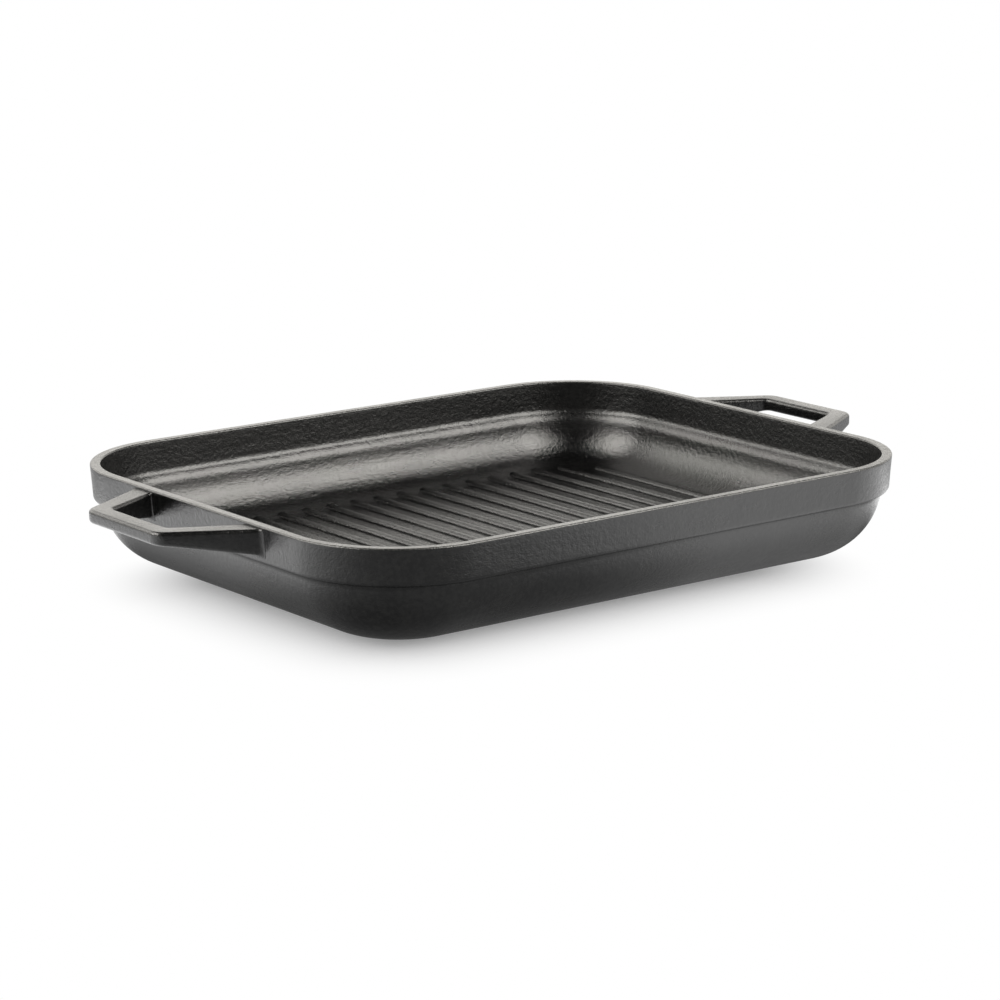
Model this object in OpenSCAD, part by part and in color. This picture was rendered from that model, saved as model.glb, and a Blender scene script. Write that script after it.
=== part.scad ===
// Rectangular grill pan of cast iron with two loop handles.
// The pan stands on the ground at z = 0, under the middle of its base.
// +X runs along the length, towards the right handle, and +Z is up.

/* [Pan] */
// Outside length of the rim, without the handles
pan_length = 330; // [290:1:420]
// Outside width of the rim
pan_width = 264; // [240:1:340]
// Height of the rim above the ground
pan_height = 49; // [46:0.5:60]
// Outside radius of the rim's corners, seen from above
corner_radius = 56; // [50:1:66]
// Thickness of the floor between the ribs
floor_thickness = 7.5; // [5:0.5:9]

/* [Rim band] */
// Thickness of the wall at the rim
rim_wall = 5; // [4:0.25:6]
// Radius along both edges of the rim
rim_round = 0.8; // [0.6:0.1:1.8]
// Lean of the band's inner and outer faces, in degrees
band_draft = 4; // [2:0.5:6]
// Height of the band's straight outer face
band_height = 15.3; // [13:0.1:17]
// Depth inside the rim at which the shoulder starts
shoulder_depth = 13.8; // [11:0.1:15]

/* [Step under the band] */
// Radius of the band's lower edge
step_edge = 2; // [1:0.1:3]
// Radius of the hollow under the band
step_hollow = 3.5; // [2:0.1:4.5]
// Tilt of the steepest part of the step, in degrees
step_tilt = 75; // [60:1:85]
// Lean of the bowl's side under the step, in degrees
bowl_lean = 10; // [6:0.5:14]
// Outside radius from the bowl's side to the base
bowl_radius = 35; // [28:0.5:36]

/* [Shoulder inside] */
// Radius of the hollow above the shoulder
shoulder_hollow = 4; // [2.5:0.1:5]
// Radius of the shoulder's nose
shoulder_nose = 8.2; // [5:0.1:9]
// Tilt of the steepest part of the shoulder, in degrees
shoulder_tilt = 48; // [45:1:70]
// Lean of the side under the shoulder, in degrees
cove_lean = 13; // [6:0.5:14]
// Radius of the cove from the side to the floor
cove_radius = 25; // [18:0.5:25]

/* [Ribs] */
// Number of ribs
rib_count = 20; // [8:1:22]
// Height of a rib above the floor
rib_height = 2.1; // [1.5:0.1:4]
// Width of a rib at the floor
rib_base = 5.6; // [4:0.1:8]
// Distance from the rim's end to the middle of the outermost rib
rib_row_inset = 29; // [29:0.5:50]
// Distance from the rim's side to the end of a rib
rib_end_inset = 26; // [26:0.5:45]

/* [Handles] */
// Reach of a handle beyond the rim
handle_reach = 39; // [32:0.5:55]
// Half the handle's outside width where it meets the wall
handle_root_outer = 52; // [48:0.5:60]
// Half the handle's opening where it meets the wall
handle_root_inner = 38; // [32:0.5:40]
// Half the handle's outside width at its end
handle_end_outer = 29; // [27:0.5:38]
// Half the handle's opening at its end
handle_end_inner = 23; // [18:0.5:25]
// Width of the bar at the handle's end, seen from above
handle_bar = 10; // [8:0.5:14]
// Depth of the handle where it meets the wall
handle_root_depth = 12; // [9:0.1:13]
// Depth of the bar at the handle's end
handle_bar_depth = 6.3; // [5:0.1:9]
// Distance of the handle's top below the rim
handle_drop = 1.2; // [0.5:0.1:2]
// Radius along the handle's edges
handle_round = 1.8; // [0.8:0.1:2.2]
// Radius of the handle's outer corners, seen from above
handle_outer_corner = 8; // [4:0.5:12]
// Radius of the opening's corners, seen from above
handle_inner_corner = 4; // [2:0.5:6]
// Radius of the fillet where the handle meets the wall
handle_fillet = 1.6; // [0.8:0.1:2.5]

/* [Hidden] */
// Largest turn of an arc between two points, in degrees
arc_turn = 9;
// Straight lines in a handle's corner, in a rounded edge, and in a full turn of the wall
corner_steps = 6;
edge_steps = 3;
wall_turn_steps = 96;
// Turn between the rings of a handle's fillet, in degrees
fillet_turn = 30;
// Turn between the points of a rib's section, in degrees
rib_turn = 15;
// Least length that counts as a straight line
least_line = 0.001;
// Height above a rib, and depth below the floor, to which the ribs are cut to the cove
cut_margin = 4;
// Colour of the seasoned iron
iron = "#2c2b2a";

rib_pitch = (pan_length - 2 * rib_row_inset) / (rib_count - 1);
rib_middle = (rib_count + 1) / 2;
corner_x = pan_length / 2 - corner_radius;
corner_y = pan_width / 2 - corner_radius;
handle_top = pan_height - handle_drop;
wall_x = pan_length / 2 - handle_drop * tan(band_draft);
handle_end = pan_length / 2 + handle_reach;
bar_inner = handle_end - handle_bar;

function rib_name(i) = str("grill_rib_", i < 10 ? "0" : "", i);

function dir(angle) = [cos(angle), sin(angle)];
function unit(v) = v / norm(v);
function reversed(list) = [for (i = [len(list) - 1:-1:0]) list[i]];

// Points of an arc after its first one, which the line before it ends on
function arc(centre, radius, from, to) =
    let (steps = ceil(abs(to - from) / arc_turn))
    [for (i = [1:steps]) centre + radius * dir(from + (to - from) * i / steps)];

// Points of the arc that rounds the corner b between the lines from a and to c
function corner_arc(a, b, c, radius, steps) =
    let (
        back = unit(a - b),
        ahead = unit(c - b),
        half = acos(back * ahead) / 2,
        centre = b + unit(back + ahead) * radius / sin(half),
        first = b + back * radius / tan(half) - centre,
        last = b + ahead * radius / tan(half) - centre,
        turn = (180 - 2 * half) * sign(first.x * last.y - first.y * last.x),
        start = atan2(first.y, first.x))
    [for (i = [0:steps]) centre + radius * dir(start + turn * i / steps)];

// One side of the wall, as points of distance in from the rim and height.
// A leaning face, two arcs that shift it inwards, a second face, and a big arc down to a level.
function side(top, face, hollow, nose, tilt, lean, big, level) =
    let (
        start = top + face * [tan(band_draft), -1],
        hollow_centre = start + hollow * dir(band_draft),
        turn = hollow_centre - hollow * dir(tilt),
        nose_centre = turn - nose * dir(tilt),
        foot = nose_centre + nose * dir(lean),
        big_fit = min(big, (foot.y - level) / (1 - sin(lean))),
        drop = foot.y - level - big_fit * (1 - sin(lean)),
        big_start = foot + drop * [tan(lean), -1],
        big_centre = big_start + big_fit * dir(lean))
    concat(
        [start],
        arc(hollow_centre, hollow, band_draft + 180, tilt + 180),
        arc(nose_centre, nose, tilt, lean),
        drop > least_line ? [big_start] : [],
        arc(big_centre, big_fit, lean + 180, 270));

rim_edge_outer = [rim_round * (1 + sin(band_draft)) / cos(band_draft), pan_height - rim_round];
rim_edge_inner =
    [rim_wall - rim_round * (1 - sin(band_draft)) / cos(band_draft), pan_height - rim_round];

outer_side = concat(
    [[rim_edge_outer.x, pan_height]],
    arc(rim_edge_outer, rim_round, 90, 180 + band_draft),
    side([0, pan_height], band_height, step_edge, step_hollow, step_tilt,
        bowl_lean, bowl_radius, 0));

inner_side = concat(
    [[rim_edge_inner.x, pan_height]],
    arc(rim_edge_inner, rim_round, 90, band_draft),
    side([rim_wall, pan_height], shoulder_depth, shoulder_hollow, shoulder_nose, shoulder_tilt,
        cove_lean, cove_radius, floor_thickness));

// Section of wall and floor, from the middle of the rim's corner outwards
module wall_section() {
    points = concat(
        outer_side,
        [[corner_radius, 0], [corner_radius, floor_thickness]],
        reversed(inner_side));
    polygon([for (p = points) [corner_radius - p.x, p.y]]);
}

// Section of the solid under the low part of the cove, which the ribs are cut to
module cove_section() {
    top = floor_thickness + rib_height + cut_margin;
    bottom = floor_thickness - cut_margin;
    cove = [for (p = inner_side) if (p.y < top) p];
    foot = cove[len(cove) - 1];
    points = concat(cove, [[foot.x, bottom], [cove[0].x, bottom]]);
    polygon([for (p = points) [corner_radius - p.x, p.y]]);
}

// A section carried straight along one side
module straight_run(distance, length) {
    translate([distance, 0, 0])
        rotate([90, 0, 0])
            linear_extrude(length, center = true)
                children();
}

// A section carried round one corner
module corner_turn(x, y) {
    translate([x, y, 0])
        rotate_extrude(angle = 90, $fn = wall_turn_steps)
            children();
}

// A section carried all round the rounded rectangle, one half at a time
module carried_round() {
    for (half = [0, 180])
        rotate(half) {
            straight_run(corner_x, 2 * corner_y) children();
            corner_turn(corner_x, corner_y) children();
            rotate(90) straight_run(corner_y, 2 * corner_x) children();
            rotate(90) corner_turn(corner_y, corner_x) children();
        }
}

module pan_body() {
    color(iron) union() {
        carried_round() wall_section();
        translate([-corner_x, -corner_y, 0])
            cube([2 * corner_x, 2 * corner_y, floor_thickness]);
    }
}

// Half the length of a rib, which follows the pan's corner
function rib_half_length(x) =
    let (
        reach = corner_radius - rib_end_inset,
        past = max(0, abs(x) - corner_x))
    corner_y + sqrt(max(0, reach * reach - past * past));

// Section of a rib, the upper half of an oval
rib_section = [for (turn = [0:rib_turn:180])
    [rib_base / 2 * cos(turn), rib_height * sin(turn)]];

module grill_rib(i) {
    x = (i - rib_middle) * rib_pitch;
    color(iron) difference() {
        translate([x, 0, floor_thickness])
            rotate([90, 0, 0])
                linear_extrude(2 * rib_half_length(x), center = true)
                    polygon(rib_section);
        carried_round() cove_section();
    }
}

// Points of one edge of the handle, seen from above, from the wall to the handle's middle.
// The fillet widens the handle, by side, where it leaves the wall.
function handle_edge(root, end_point, radius, side) =
    let (slope = (end_point.y - root.y) / (end_point.x - root.x))
    concat(
        [for (turn = [90:-fillet_turn:0])
            let (
                away = handle_fillet * (1 - sin(turn)),
                flare = handle_fillet * (1 - cos(turn)))
            [root.x + away, root.y + slope * away + side * flare]],
        corner_arc(root, end_point, [end_point.x, 0], radius, corner_steps));

function mirrored(edge) = concat(edge, [for (p = reversed(edge)) [p.x, -p.y]]);

handle_outer_edge = mirrored(handle_edge(
    [wall_x, handle_root_outer], [handle_end, handle_end_outer], handle_outer_corner, 1));
handle_inner_edge = mirrored(handle_edge(
    [wall_x, handle_root_inner], [bar_inner, handle_end_inner], handle_inner_corner, -1));

// Depth of the handle at a distance from the wall, with the fillet under its root
function handle_depth(x) =
    let (
        away = x - wall_x,
        left = max(0, handle_fillet - away),
        flare = handle_fillet - sqrt(max(0, handle_fillet * handle_fillet - left * left)),
        along = min(1, away / (bar_inner - wall_x)))
    handle_root_depth + (handle_bar_depth - handle_root_depth) * along + flare;

// Points round the bar at one place: a rounded box between two edge points
function bar_ring(inner, outer) =
    let (
        width = norm(outer - inner),
        depth = handle_depth(inner.x),
        across = (outer - inner) / width,
        r = handle_round,
        box = [[width - r, -r, 0], [r, -r, 90], [r, r - depth, 180], [width - r, r - depth, 270]])
    [for (corner = box)
        for (i = [0:edge_steps])
            let (
                p = [corner.x, corner.y] + r * dir(corner.z + 90 * i / edge_steps),
                flat = inner + across * p.x,
                lean = p.y * tan(band_draft) * (handle_end - flat.x) / (handle_end - wall_x))
            [flat.x + lean, flat.y, handle_top + p.y]];

// Loft through the rings, whose first and last lie on the band's leaning face
module handle() {
    rings = [for (i = [0:len(handle_inner_edge) - 1])
        bar_ring(handle_inner_edge[i], handle_outer_edge[i])];
    count = len(rings[0]);
    last = (len(rings) - 1) * count;
    skin = [for (i = [0:len(rings) - 2]) for (j = [0:count - 1])
        let (
            a = i * count + j,
            b = i * count + (j + 1) % count)
        each [[a, a + count, b], [b, a + count, b + count]]];
    caps = [for (j = [1:count - 2]) each [[0, j, j + 1], [last, last + j + 1, last + j]]];
    polyhedron([for (ring = rings) each ring], concat(skin, caps));
}

module right_handle() {
    color(iron) handle();
}

module left_handle() {
    color(iron) mirror([1, 0, 0]) handle();
}

pan_body();
left_handle();
right_handle();
for (i = [1:rib_count])
    grill_rib(i);
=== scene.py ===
import math

import bmesh
import bpy
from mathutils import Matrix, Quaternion, Vector, noise


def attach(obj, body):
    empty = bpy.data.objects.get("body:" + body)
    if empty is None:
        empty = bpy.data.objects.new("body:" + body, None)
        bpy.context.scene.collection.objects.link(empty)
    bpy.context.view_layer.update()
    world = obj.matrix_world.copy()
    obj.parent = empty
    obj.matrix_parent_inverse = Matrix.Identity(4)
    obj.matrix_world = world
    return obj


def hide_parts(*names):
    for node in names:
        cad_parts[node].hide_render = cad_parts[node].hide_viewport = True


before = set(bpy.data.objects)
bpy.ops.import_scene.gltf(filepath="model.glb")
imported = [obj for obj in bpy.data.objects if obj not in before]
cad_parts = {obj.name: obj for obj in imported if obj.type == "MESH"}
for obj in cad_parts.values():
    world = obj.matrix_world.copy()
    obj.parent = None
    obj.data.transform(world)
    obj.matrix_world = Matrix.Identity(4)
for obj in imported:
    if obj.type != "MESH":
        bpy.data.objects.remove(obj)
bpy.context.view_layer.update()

mm = 0.001  # sizes below are in millimetres, and the scene is in metres
sharpFrom = 50.0  # degrees between two faces that meet in a hard edge
scene = bpy.context.scene


def hexLinear(code):
    channels = [int(code[i:i + 2], 16) / 255 for i in (1, 3, 5)]
    return tuple(c / 12.92 if c <= 0.04045 else ((c + 0.055) / 1.055) ** 2.4 for c in channels) + (1.0,)


def addNode(tree, kind, settings=None, **links):
    node = tree.nodes.new(kind)
    for name, value in (settings or {}).items():
        setattr(node, name, value)
    for name, value in links.items():
        key = int(name[1:]) if name[0] == "i" and name[1:].isdigit() else name.replace("_", " ")
        if isinstance(value, bpy.types.NodeSocket):
            tree.links.new(value, node.inputs[key])
        else:
            node.inputs[key].default_value = value
    return node


def addMath(tree, operation, a, b=0.0, c=0.0):
    return addNode(tree, "ShaderNodeMath", {"operation": operation}, i0=a, i1=b, i2=c).outputs[0]


def addRange(tree, value, low, high, toLow=0.0, toHigh=1.0):
    settings = {"interpolation_type": "SMOOTHSTEP"}
    return addNode(tree, "ShaderNodeMapRange", settings, Value=value, From_Min=low, From_Max=high,
                   To_Min=toLow, To_Max=toHigh).outputs[0]


def newMaterial(name):
    material = bpy.data.materials.new(name)
    material.use_nodes = True
    material.node_tree.nodes.clear()
    return material, material.node_tree


# Seasoned cast iron: near-black satin crust with a fine sand-cast grain, rougher where the wall was left
# as cast, and paler on the ground top of the rim, a pale tone that is partly a painted highlight there
ironLook = {
    "dark": "#040404", "light": "#141413", "toneRange": (0.4, 0.64), "mottleShare": 0.4,
    "grain": 0.6, "pebble": 2.0, "mottle": 14.0, "patch": 38.0, "streakLong": 34.0, "streakTall": 3.5,
    "grainHeight": 0.13, "pebbleHeight": 0.2, "roughHeight": 0.08, "streakHeight": 0.1,
    "ground": "#4a4945", "groundFrom": 48.2, "groundTo": 48.8, "groundGrain": (0.35, 0.6),
    "gloss": 0.2, "dull": 0.28, "castDull": 0.3, "wornRange": (0.38, 0.62), "ior": 1.5,
}


def makeIron(look):
    material, tree = newMaterial("seasonedCastIronSatin")
    where = addNode(tree, "ShaderNodeTexCoord").outputs["Object"]
    asCast = addNode(tree, "ShaderNodeAttribute", {"attribute_name": "asCast"}).outputs["Fac"]

    def pattern(size, detail):
        return addNode(tree, "ShaderNodeTexNoise", None, Vector=where, Scale=1 / (size * mm),
                       Detail=detail, Roughness=0.55).outputs["Fac"]

    long, tall = 1 / (look["streakLong"] * mm), 1 / (look["streakTall"] * mm)
    level = addNode(tree, "ShaderNodeMapping", None, Vector=where, Scale=(long, long, tall)).outputs[0]
    streak = addNode(tree, "ShaderNodeTexNoise", None, Vector=level, Scale=1.0, Detail=3.0,
                     Roughness=0.6).outputs["Fac"]
    grain = pattern(look["grain"], 1.5)
    pebble = pattern(look["pebble"], 2.0)
    mottle = pattern(look["mottle"], 4.0)
    patch = pattern(look["patch"], 2.0)
    pebbled = addMath(tree, "MULTIPLY", pebble, 1 - look["mottleShare"])
    mixed = addMath(tree, "MULTIPLY_ADD", mottle, look["mottleShare"], pebbled)
    pale = addRange(tree, mixed, *look["toneRange"])
    tone = addNode(tree, "ShaderNodeMix", {"data_type": "RGBA"}, Factor=pale, i6=hexLinear(look["dark"]),
                   i7=hexLinear(look["light"])).outputs[2]
    height = addNode(tree, "ShaderNodeSeparateXYZ", None, Vector=where).outputs["Z"]
    # rim top: a paler ground tone that is partly a painted highlight, standing in for the rim's bright
    # grazing reflection
    onRim = addRange(tree, height, look["groundFrom"] * mm, look["groundTo"] * mm)
    ground = addMath(tree, "MULTIPLY", onRim, addRange(tree, grain, *look["groundGrain"]))
    tone = addNode(tree, "ShaderNodeMix", {"data_type": "RGBA"}, Factor=ground, i6=tone,
                   i7=hexLinear(look["ground"])).outputs[2]
    worn = addMath(tree, "MULTIPLY_ADD", patch, 0.5, addMath(tree, "MULTIPLY", streak, 0.5))
    satin = addRange(tree, worn, *look["wornRange"], look["gloss"], look["dull"])
    rough = addNode(tree, "ShaderNodeMix", None, Factor=asCast, i2=satin, i3=look["castDull"]).outputs[0]
    pebbleLift = addMath(tree, "MULTIPLY_ADD", asCast, look["roughHeight"] * mm, look["pebbleHeight"] * mm)
    lift = addMath(tree, "MULTIPLY", pebble, pebbleLift)
    lift = addMath(tree, "MULTIPLY_ADD", grain, look["grainHeight"] * mm, lift)
    lift = addMath(tree, "MULTIPLY_ADD", streak, look["streakHeight"] * mm, lift)
    bump = addNode(tree, "ShaderNodeBump", None, Strength=1.0, Distance=1.0, Height=lift).outputs["Normal"]
    shader = addNode(tree, "ShaderNodeBsdfPrincipled", None, Base_Color=tone, Roughness=rough,
                     IOR=look["ior"], Normal=bump)
    addNode(tree, "ShaderNodeOutputMaterial", None, Surface=shader.outputs[0])
    return material


iron = makeIron(ironLook)
print("stage: materials")


def direction(angle):
    return Vector((math.cos(math.radians(angle)), math.sin(math.radians(angle))))


def arcPoints(centre, radius, start, end, step, longest=1.4):
    count = max(2, math.ceil(abs(end - start) / min(step, math.degrees(longest / radius))))
    return [centre + radius * direction(start + (end - start) * i / count) for i in range(count + 1)]


def withSteps(points, longest):
    made = [points[0]]
    for a, b in zip(points, points[1:]):
        count = math.ceil((b - a).length / longest)
        made += [a.lerp(b, i / count) for i in range(1, count + 1)] if (b - a).length > 1e-6 else []
    return made


def unevenness(spot):
    return 0.5 + 0.5 * noise.noise(spot)


def finishPiece(name, mesh, nodes):
    mesh.set_sharp_from_angle(angle=math.radians(sharpFrom))
    if not mesh.materials:
        mesh.materials.append(iron)
    piece = bpy.data.objects.new(name, mesh)
    scene.collection.objects.link(piece)
    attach(piece, "root")
    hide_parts(*nodes)
    print("stage:", name, len(mesh.polygons), "faces")
    return piece


def cleanMesh(name, build):
    build.normal_update()
    bmesh.ops.recalc_face_normals(build, faces=build.faces)
    for face in build.faces:
        face.smooth = True
    mesh = bpy.data.meshes.new(name)
    build.to_mesh(mesh)
    build.free()
    return mesh


# Pan: one wall section carried round a rounded rectangle, with the faint unevenness of a sand casting
panSizes = {
    "length": 330.0, "width": 264.0, "height": 49.0, "corner": 56.0, "floor": 7.5,
    "rimWall": 5.0, "rimRound": 0.8, "draft": 4.0,
    "outside": {"face": 15.3, "hollow": 2.0, "nose": 3.5, "tilt": 75.0, "lean": 10.0, "big": 35.0},
    "inside": {"face": 13.8, "hollow": 4.0, "nose": 8.2, "tilt": 48.0, "lean": 13.0, "big": 25.0},
    "arcStep": 7.0, "rimArcStep": 12.0, "faceStep": 1.2, "rimStep": 0.5, "flatStep": 6.0, "middleGap": 1.0,
    "alongStep": 2.4, "cornerParts": 40,
    "waveSize": 22.0, "waveDepth": 0.16, "castSize": 5.0, "castDepth": 0.16, "castPlace": (31, 7, 3),
    "roughFade": 3.0, "rimFade": 1.5, "calmTop": 9.0, "calmBase": 6.0,
}


def wallSide(sizes, top, form, level):
    draft, tilt, lean = sizes["draft"], form["tilt"], form["lean"]
    start = top + form["face"] * Vector((math.tan(math.radians(draft)), -1))
    hollowCentre = start + form["hollow"] * direction(draft)
    turn = hollowCentre - form["hollow"] * direction(tilt)
    noseCentre = turn - form["nose"] * direction(tilt)
    foot = noseCentre + form["nose"] * direction(lean)
    fall = 1 - math.sin(math.radians(lean))
    big = min(form["big"], (foot.y - level) / fall)
    drop = foot.y - level - big * fall
    bigStart = foot + drop * Vector((math.tan(math.radians(lean)), -1))
    bigCentre = bigStart + big * direction(lean)
    step = sizes["arcStep"]
    return (arcPoints(hollowCentre, form["hollow"], draft + 180, tilt + 180, step)
            + arcPoints(noseCentre, form["nose"], tilt, lean, step)
            + arcPoints(bigCentre, big, lean + 180, 270, step))


def wallProfile(sizes):
    draft, roundness, height = math.radians(sizes["draft"]), sizes["rimRound"], sizes["height"]
    outerEdge = Vector((roundness * (1 + math.sin(draft)) / math.cos(draft), height - roundness))
    inset = roundness * (1 - math.sin(draft)) / math.cos(draft)
    innerEdge = Vector((sizes["rimWall"] - inset, height - roundness))
    outer = (arcPoints(outerEdge, roundness, 90, 180 + sizes["draft"], sizes["rimArcStep"])
             + wallSide(sizes, Vector((0, height)), sizes["outside"], 0))
    inner = (arcPoints(innerEdge, roundness, 90, sizes["draft"], sizes["rimArcStep"])
             + wallSide(sizes, Vector((sizes["rimWall"], height)), sizes["inside"], sizes["floor"]))
    middle = sizes["corner"] - sizes["middleGap"]
    outerFlat = withSteps([Vector((middle, 0)), outer[-1]], sizes["flatStep"])
    innerFlat = withSteps([inner[-1], Vector((middle, sizes["floor"]))], sizes["flatStep"])
    rim = withSteps([outer[0], inner[0]], sizes["rimStep"])
    return (outerFlat + withSteps(outer[::-1], sizes["faceStep"])[1:] + rim[1:-1]
            + withSteps(inner, sizes["faceStep"]) + innerFlat[1:])


def rimStations(sizes):
    cornerX, cornerY = sizes["length"] / 2 - sizes["corner"], sizes["width"] / 2 - sizes["corner"]
    corners = [Vector((cornerX, cornerY)), Vector((-cornerX, cornerY)),
               Vector((-cornerX, -cornerY)), Vector((cornerX, -cornerY))]
    stations = []
    for number, axis in enumerate(corners):
        for part in range(sizes["cornerParts"] + 1):
            stations.append((axis, direction(90 * (number + part / sizes["cornerParts"]))))
        follow = corners[(number + 1) % 4]
        count = math.ceil((follow - axis).length / sizes["alongStep"])
        stations += [(axis.lerp(follow, i / count), direction(90 * (number + 1))) for i in range(1, count)]
    return stations


def makePan(sizes):
    profile, stations = wallProfile(sizes), rimStations(sizes)
    last = len(profile) - 1
    tangents = [(profile[min(i + 1, last)] - profile[max(i - 1, 0)]).normalized() for i in range(last + 1)]
    top, fade = sizes["height"], sizes["roughFade"]
    low = top - sizes["inside"]["face"] - fade
    build = bmesh.new()
    layer = build.verts.layers.float.new("asCast")
    peak = max(range(len(profile)), key=lambda i: (profile[i].y, -abs(profile[i].x - sizes["rimWall"] / 2)))
    rings = []
    for index, (point, tangent) in enumerate(zip(profile, tangents)):
        inside = index > peak
        rough = 0.0
        if inside:
            rough = min(1, max(0, (point.y - low) / fade))
            rough *= min(1, max(0, (top - point.y) / sizes["rimFade"]))
        calm = min(1, (top - point.y) / sizes["calmTop"])
        if not inside:
            calm *= min(1, point.y / sizes["calmBase"])
        ring = []
        for axis, normal in stations:
            flat = axis + (sizes["corner"] - point.x) * normal
            spot = Vector((flat.x, flat.y, point.y))
            inward = Vector((-tangent.y * normal.x, -tangent.y * normal.y, -tangent.x))
            wave = unevenness(spot / sizes["waveSize"])
            cast = unevenness(spot / sizes["castSize"] + Vector(sizes["castPlace"]))
            depth = (sizes["waveDepth"] * wave + sizes["castDepth"] * rough * cast) * calm
            vert = build.verts.new((spot + inward * depth) * mm)
            vert[layer] = rough
            ring.append(vert)
        rings.append(ring)
    count = len(stations)
    for a, b in zip(rings, rings[1:]):
        for i in range(count):
            build.faces.new((a[i], a[(i + 1) % count], b[(i + 1) % count], b[i]))
    build.faces.new(rings[0][::-1])
    build.faces.new(rings[-1])
    return cleanMesh("panBody", build)


finishPiece("panBody", makePan(panSizes), ["pan_body"])


# Handles: a rounded bar lofted between an inner and an outer line seen from above
handleSizes = {
    "wall": 164.92, "end": 204.0, "barInner": 194.0, "top": 47.8, "draft": 4.0,
    "rootOuter": 52.0, "rootInner": 38.0, "endOuter": 29.0, "endInner": 23.0,
    "rootDepth": 12.0, "barDepth": 6.3, "edgeRound": 1.8, "fillet": 1.6,
    "outerCorner": 8.0, "innerCorner": 4.0, "sink": 1.5,
    "edgeParts": 7, "filletParts": 6, "cornerParts": 14, "straightParts": 12,
    "waveSize": 9.0, "waveDepth": 0.10, "wavePlace": (5, 11, 2),
}


def cornerArc(before, corner, after, radius, parts):
    a, b = (before - corner).normalized(), (after - corner).normalized()
    half = a.angle(b) / 2
    centre = corner + (a + b).normalized() * radius / math.sin(half)
    first = corner + a * radius / math.tan(half) - centre
    last = corner + b * radius / math.tan(half) - centre
    # slerp gives vectors of unit length
    return [centre + radius * first.slerp(last, i / parts) for i in range(parts + 1)]


def handleLine(sizes, root, end, radius, side):
    slope = (end.y - root.y) / (end.x - root.x)
    line = []
    for part in range(sizes["filletParts"] + 1):
        turn = math.radians(90 - 90 * part / sizes["filletParts"])
        away, flare = sizes["fillet"] * (1 - math.sin(turn)), sizes["fillet"] * (1 - math.cos(turn))
        line.append(Vector((root.x + away, root.y + slope * away + side * flare)))
    middle, parts = Vector((end.x, 0)), sizes["straightParts"]
    bend = cornerArc(root, end, middle, radius, sizes["cornerParts"])
    line += [line[-1].lerp(bend[0], i / parts) for i in range(1, parts)]
    bar = [bend[-1].lerp(middle, i / parts) for i in range(1, parts + 1)]
    half = line + bend + bar
    return half + [Vector((p.x, -p.y)) for p in half[-2::-1]]


def handleDepth(sizes, x):
    away = x - sizes["wall"]
    left = max(0, sizes["fillet"] - away)
    flare = sizes["fillet"] - math.sqrt(max(0, sizes["fillet"] ** 2 - left ** 2))
    along = min(1, away / (sizes["barInner"] - sizes["wall"]))
    return sizes["rootDepth"] + (sizes["barDepth"] - sizes["rootDepth"]) * along + flare


def handleRing(sizes, inner, outer, sink):
    width, depth, r = (outer - inner).length, handleDepth(sizes, inner.x), sizes["edgeRound"]
    across = (outer - inner) / width
    lean = math.tan(math.radians(sizes["draft"]))
    ring = []
    for x, y, start in ((width - r, -r, 0), (r, -r, 90), (r, r - depth, 180), (width - r, r - depth, 270)):
        for part in range(sizes["edgeParts"] + 1):
            p = Vector((x, y)) + r * direction(start + 90 * part / sizes["edgeParts"])
            flat = inner + across * p.x
            shift = p.y * lean * (sizes["end"] - flat.x) / (sizes["end"] - sizes["wall"]) - sink
            spot = Vector((flat.x + shift, flat.y, sizes["top"] + p.y))
            toMiddle = inner + across * width / 2
            inward = (Vector((toMiddle.x, toMiddle.y, sizes["top"] - depth / 2)) - spot).normalized()
            wave = unevenness(spot / sizes["waveSize"] + Vector(sizes["wavePlace"]))
            ring.append(spot + inward * wave * sizes["waveDepth"])
    return ring


def makeHandle(name, sizes, mirror):
    outer = handleLine(sizes, Vector((sizes["wall"], sizes["rootOuter"])),
                       Vector((sizes["end"], sizes["endOuter"])), sizes["outerCorner"], 1)
    inner = handleLine(sizes, Vector((sizes["wall"], sizes["rootInner"])),
                       Vector((sizes["barInner"], sizes["endInner"])), sizes["innerCorner"], -1)
    rings = [handleRing(sizes, a, b, 0) for a, b in zip(inner, outer)]
    rings.insert(0, handleRing(sizes, inner[0], outer[0], sizes["sink"]))
    rings.append(handleRing(sizes, inner[-1], outer[-1], sizes["sink"]))
    build = bmesh.new()
    made = [[build.verts.new(Vector((p.x * mirror, p.y, p.z)) * mm) for p in ring] for ring in rings]
    count = len(made[0])
    for a, b in zip(made, made[1:]):
        for i in range(count):
            build.faces.new((a[i], b[i], b[(i + 1) % count], a[(i + 1) % count]))
    build.faces.new(made[0])
    build.faces.new(made[-1][::-1])
    return cleanMesh(name, build)


finishPiece("leftHandle", makeHandle("leftHandle", handleSizes, -1), ["left_handle"])
finishPiece("rightHandle", makeHandle("rightHandle", handleSizes, 1), ["right_handle"])


# Ribs: one bar of oval section, half above the floor, set along a row by Geometry Nodes and shortened
# where the pan's corners turn in
ribSizes = {
    "Count": 20, "Pitch": 14.316, "Height": 2.1, "Base Width": 5.6, "Section Points": 24,
    "Floor": 7.5, "Corner X": 109.0, "Corner Y": 76.0, "Reach": 30.0,
    "End Round": 0.6, "End Taper": 0.55, "Step": 1.3, "Wave Size": 11.0, "Wave Depth": 0.12, "Seed": 3.0,
}
ribCounts = ("Count", "Section Points")
ribNodes = ["grill_rib_%02d" % number for number in range(1, ribSizes["Count"] + 1)]
ribWaveMiddle = (0.5, 0.5, 0.8)  # taken off the noise, so that the tops mostly sink


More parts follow.
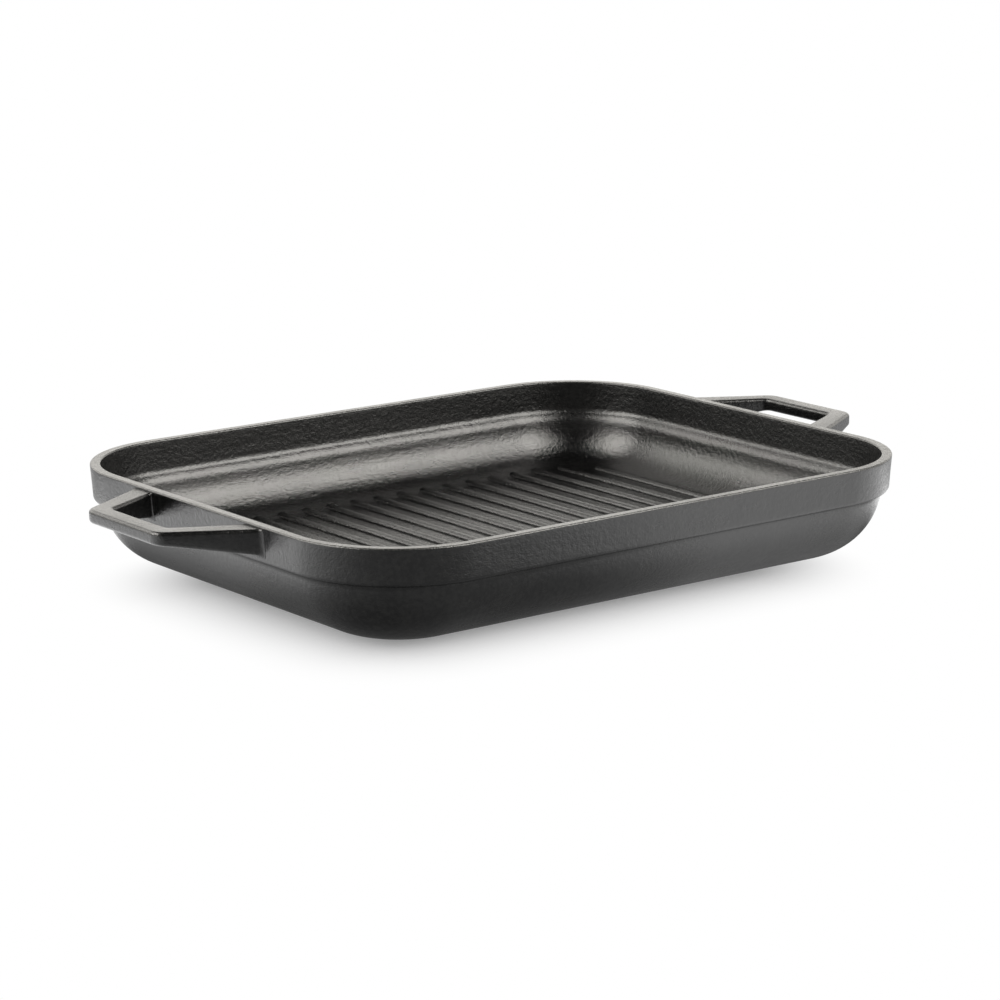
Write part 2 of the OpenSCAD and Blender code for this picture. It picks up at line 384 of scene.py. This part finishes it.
def ribTree(sizes):
    tree = bpy.data.node_groups.new("ribRow", "GeometryNodeTree")
    tree.interface.new_socket("Geometry", in_out="INPUT", socket_type="NodeSocketGeometry")
    tree.interface.new_socket("Geometry", in_out="OUTPUT", socket_type="NodeSocketGeometry")
    keys = {}
    for name in sizes:
        kind = "NodeSocketInt" if name in ribCounts else "NodeSocketFloat"
        keys[name] = tree.interface.new_socket(name, in_out="INPUT", socket_type=kind).identifier
    given = addNode(tree, "NodeGroupInput").outputs

    def calc(operation, a, b=0.0, c=0.0):
        return addMath(tree, operation, a, b, c)

    def vector(x=0.0, y=0.0, z=0.0):
        return addNode(tree, "ShaderNodeCombineXYZ", None, X=x, Y=y, Z=z).outputs[0]

    place = addNode(tree, "GeometryNodeInputPosition").outputs[0]
    half = calc("ADD", given["Corner Y"], given["Reach"])
    start = vector(y=calc("MULTIPLY", half, -1.0))
    line = addNode(tree, "GeometryNodeCurvePrimitiveLine", None, Start=start, End=vector(y=half)).outputs[0]
    line = addNode(tree, "GeometryNodeResampleCurve", {"mode": "LENGTH"}, Curve=line,
                   Length=given["Step"]).outputs[0]
    along = addNode(tree, "GeometryNodeSplineParameter").outputs["Length"]
    toEnd = calc("MINIMUM", along, calc("SUBTRACT", calc("MULTIPLY", half, 2.0), along))
    drop = calc("MAXIMUM", calc("SUBTRACT", 1.0, calc("DIVIDE", toEnd, given["End Round"])), 0.0)
    lost = calc("MULTIPLY", calc("MULTIPLY", drop, drop), given["End Taper"])
    taper = calc("SQRT", calc("SUBTRACT", 1.0, lost))
    section = addNode(tree, "GeometryNodeCurvePrimitiveCircle", None, Resolution=given["Section Points"],
                      Radius=1.0).outputs[0]
    oval = vector(calc("MULTIPLY", given["Base Width"], 0.5), given["Height"], 1.0)
    section = addNode(tree, "GeometryNodeTransform", None, Geometry=section, Scale=oval).outputs[0]
    bar = addNode(tree, "GeometryNodeCurveToMesh", None, Curve=line, Profile_Curve=section, Scale=taper,
                  Fill_Caps=True).outputs[0]
    first = calc("MULTIPLY", calc("MULTIPLY", calc("SUBTRACT", given["Count"], 1.0), given["Pitch"]), -0.5)
    start = vector(x=first, z=given["Floor"])
    row = addNode(tree, "GeometryNodeMeshLine", None, Count=given["Count"], Start_Location=start,
                  Offset=vector(x=given["Pitch"])).outputs[0]
    x = addNode(tree, "ShaderNodeSeparateXYZ", None, Vector=place).outputs[0]
    past = calc("MAXIMUM", calc("SUBTRACT", calc("ABSOLUTE", x), given["Corner X"]), 0.0)
    room = calc("SUBTRACT", calc("MULTIPLY", given["Reach"], given["Reach"]), calc("MULTIPLY", past, past))
    share = calc("DIVIDE", calc("ADD", given["Corner Y"], calc("SQRT", calc("MAXIMUM", room, 0.0))), half)
    ribs = addNode(tree, "GeometryNodeInstanceOnPoints", None, Points=row, Instance=bar,
                   Scale=vector(1.0, share, 1.0)).outputs[0]
    ribs = addNode(tree, "GeometryNodeRealizeInstances", None, Geometry=ribs).outputs[0]
    wave = addNode(tree, "ShaderNodeTexNoise", {"noise_dimensions": "4D"}, Vector=place, W=given["Seed"],
                   Scale=calc("DIVIDE", 1.0, given["Wave Size"]), Detail=1.0).outputs["Color"]
    centred = addNode(tree, "ShaderNodeVectorMath", {"operation": "SUBTRACT"}, i0=wave,
                      i1=ribWaveMiddle).outputs[0]
    shift = addNode(tree, "ShaderNodeVectorMath", {"operation": "SCALE"}, i0=centred,
                    Scale=given["Wave Depth"]).outputs[0]
    ribs = addNode(tree, "GeometryNodeSetPosition", None, Geometry=ribs, Offset=shift).outputs[0]
    ribs = addNode(tree, "GeometryNodeTransform", None, Geometry=ribs, Scale=(mm, mm, mm)).outputs[0]
    ribs = addNode(tree, "GeometryNodeSetShadeSmooth", None, Geometry=ribs).outputs[0]
    ribs = addNode(tree, "GeometryNodeSetMaterial", None, Geometry=ribs, Material=iron).outputs[0]
    addNode(tree, "NodeGroupOutput", None, Geometry=ribs)
    return tree, keys


def makeRibs(sizes):
    tree, keys = ribTree(sizes)
    holder = bpy.data.objects.new("ribRow", bpy.data.meshes.new("ribRow"))
    scene.collection.objects.link(holder)
    modifier = holder.modifiers.new("ribRow", "NODES")
    modifier.node_group = tree
    for name, value in sizes.items():
        modifier[keys[name]] = value
    shown = holder.evaluated_get(bpy.context.evaluated_depsgraph_get())
    mesh = bpy.data.meshes.new_from_object(shown)
    holder.modifiers.clear()
    bpy.data.objects.remove(holder)
    mesh.name = "grillRibs"
    return mesh


finishPiece("grillRibs", makeRibs(ribSizes), ribNodes)


# Glow of the white studio in the iron: strong behind the pan, weak on the camera's side
glowLook = {"turn": 53.0, "from": -1.0, "to": -0.46, "tint": "#fffcf6"}


def glowLevel(tree, ray, dim, bright):
    way = direction(glowLook["turn"]).to_3d()
    toward = addNode(tree, "ShaderNodeVectorMath", {"operation": "DOT_PRODUCT"}, i0=ray, i1=way)
    return addRange(tree, toward.outputs["Value"], glowLook["from"], glowLook["to"], dim, bright)


# Floor: pale matt paper that takes the shadow, going over to plain white away from the pan
# What the iron mirrors of it is darker beside the pan (shade) and behind it (back)
floorLook = {
    "paper": "#fbfbfb", "size": 60.0, "under": 0.1, "dim": 0.45, "bright": 2.3,
    "clearPlace": (-28.0, -30.0), "clearHalf": (95.0, 62.0),
    "clearFrom": 0.0, "clearTo": 75.0, "clearLeast": 0.25,
    "shadePlace": (12.0, 0.0), "shadeHalf": (140.0, 86.0),
    "shadeFrom": 8.0, "shadeTo": 80.0, "shadeLeast": 0.0, "shadeLevel": 0.15,
    "backTurn": 58.0, "backFrom": 60.0, "backTo": 118.0, "backLeast": 0.33,
}


def makeFloor(look):
    material, tree = newMaterial("mattWhitePaper")
    where = addNode(tree, "ShaderNodeTexCoord").outputs["Object"]

    def vector(operation, a, b=(0, 0, 0)):
        return addNode(tree, "ShaderNodeVectorMath", {"operation": operation}, i0=a, i1=b)

    def rising(name):
        place, half = look[name + "Place"], look[name + "Half"]
        start, end = look[name + "From"], look[name + "To"]
        moved = vector("SUBTRACT", where, (place[0] * mm, place[1] * mm, 0)).outputs[0]
        aside = vector("ABSOLUTE", moved).outputs[0]
        past = vector("SUBTRACT", aside, (half[0] * mm, half[1] * mm, 0)).outputs[0]
        away = vector("LENGTH", vector("MAXIMUM", past).outputs[0]).outputs["Value"]
        return addRange(tree, away, start * mm, end * mm, look[name + "Least"], 1.0)

    clear = rising("clear")
    shade = rising("shade")
    paper = addNode(tree, "ShaderNodeBsdfDiffuse", None, Color=hexLinear(look["paper"])).outputs[0]
    white = addNode(tree, "ShaderNodeEmission", None, Color=(1, 1, 1, 1), Strength=1.0).outputs[0]
    plain = addNode(tree, "ShaderNodeMixShader", None, i0=clear, i1=paper, i2=white).outputs[0]
    glow = glowLevel(tree, vector("NORMALIZE", where).outputs[0], look["dim"], look["bright"])
    behind = vector("DOT_PRODUCT", where, direction(look["backTurn"]).to_3d()).outputs["Value"]
    back = addRange(tree, behind, look["backFrom"] * mm, look["backTo"] * mm, 1.0, look["backLeast"])
    over = addMath(tree, "SUBTRACT", glow, look["shadeLevel"])
    level = addMath(tree, "MULTIPLY_ADD", shade, over, look["shadeLevel"])
    mirrored = addNode(tree, "ShaderNodeEmission", None, Color=(1, 1, 1, 1),
                       Strength=addMath(tree, "MULTIPLY", level, back)).outputs[0]
    glossy = addNode(tree, "ShaderNodeLightPath").outputs["Is Glossy Ray"]
    shader = addNode(tree, "ShaderNodeMixShader", None, i0=glossy, i1=plain, i2=mirrored).outputs[0]
    addNode(tree, "ShaderNodeOutputMaterial", None, Surface=shader)
    build = bmesh.new()
    bmesh.ops.create_grid(build, x_segments=2, y_segments=2, size=look["size"] / 2)
    mesh = bpy.data.meshes.new("floor")
    build.to_mesh(mesh)
    build.free()
    mesh.materials.append(material)
    floor = bpy.data.objects.new("floor", mesh)
    floor.location.z = -look["under"] * mm
    scene.collection.objects.link(floor)


makeFloor(floorLook)
print("stage: floor")


# Lights: a wide soft box on each side of the camera, which the coves mirror as long soft bands, two weak
# ones that light the ribs' sides and the right cove, and a pale horizon
# Wide and tall are half angles seen from the pan, and level is per area
lightSizes = {
    "right": {"turn": -56.0, "height": 42.0, "away": 4.0, "wide": 22.0, "tall": 19.0, "level": 8.0},
    "left": {"turn": 155.0, "height": 42.0, "away": 4.0, "wide": 20.0, "tall": 20.0, "level": 7.5},
    "fill": {"turn": 112.0, "height": 26.0, "away": 4.0, "wide": 22.0, "tall": 9.0, "level": 1.45},
    "soft": {"turn": 84.0, "height": 35.0, "away": 4.1, "wide": 32.0, "tall": 12.0, "level": 0.9},
}
lightStrength = 4.0
skyLook = {"plain": 1.0, "overhead": 0.03, "dim": 0.05, "bright": 1.65, "bandTop": 0.3, "bandEnd": 0.65}


def makeLight(name, sizes):
    turn, height = math.radians(sizes["turn"]), math.radians(sizes["height"])
    ray = Vector((math.cos(height) * math.cos(turn), math.cos(height) * math.sin(turn), math.sin(height)))
    light = bpy.data.lights.new(name, "AREA")
    light.shape = "RECTANGLE"
    light.color = hexLinear(glowLook["tint"])[:3]
    light.size = 2 * sizes["away"] * math.tan(math.radians(sizes["wide"]))
    light.size_y = 2 * sizes["away"] * math.tan(math.radians(sizes["tall"]))
    light.energy = sizes["level"] * lightStrength * light.size * light.size_y
    lamp = bpy.data.objects.new(name, light)
    lamp.location = ray * sizes["away"]
    lamp.rotation_euler = ray.to_track_quat("Z", "Y").to_euler()
    lamp.visible_diffuse = False  # the paper is lit by the plain sky alone, which gives its soft shadow
    scene.collection.objects.link(lamp)


for lightName, lightSize in lightSizes.items():
    makeLight(lightName + "Light", lightSize)


def makeSky(look):
    world = bpy.data.worlds.new("studio")
    world.use_nodes = True
    tree = world.node_tree
    tree.nodes.clear()
    ray = addNode(tree, "ShaderNodeTexCoord").outputs["Generated"]
    height = addNode(tree, "ShaderNodeSeparateXYZ", None, Vector=ray).outputs["Z"]
    band = addRange(tree, height, look["bandTop"], look["bandEnd"], 1.0, 0.0)
    glow = glowLevel(tree, ray, look["dim"], look["bright"])
    level = addMath(tree, "MULTIPLY_ADD", band, glow, look["overhead"])
    tint, white = hexLinear(glowLook["tint"]), (1, 1, 1, 1)
    mirrored = addNode(tree, "ShaderNodeBackground", None, Color=tint, Strength=level).outputs[0]
    plain = addNode(tree, "ShaderNodeBackground", None, Color=white, Strength=look["plain"]).outputs[0]
    glossy = addNode(tree, "ShaderNodeLightPath").outputs["Is Glossy Ray"]
    shader = addNode(tree, "ShaderNodeMixShader", None, i0=glossy, i1=plain, i2=mirrored).outputs[0]
    addNode(tree, "ShaderNodeOutputWorld", None, Surface=shader)
    scene.world = world


makeSky(skyLook)
print("stage: lights")


# Camera: a long lens, turned and raised as in the photograph
cameraSizes = {
    "place": (-0.9366, -1.2288, 0.3880), "aim": (-0.0001, -0.0058, 0.0283),
    "lens": 120.85, "sensor": 36.0, "roll": -0.0055, "clipEnd": 200.0,
}


def makeCamera(sizes):
    view = bpy.data.cameras.new("camera")
    view.lens = sizes["lens"]
    view.sensor_width = sizes["sensor"]
    view.clip_end = sizes["clipEnd"]
    camera = bpy.data.objects.new("camera", view)
    place = Vector(sizes["place"])
    aim = (Vector(sizes["aim"]) - place).to_track_quat("-Z", "Y")
    camera.rotation_mode = "QUATERNION"
    camera.rotation_quaternion = aim @ Quaternion((0, 0, 1), sizes["roll"])
    camera.location = place
    scene.collection.objects.link(camera)
    scene.camera = camera


makeCamera(cameraSizes)
scene.view_settings.view_transform = "Standard"
print("stage: camera")
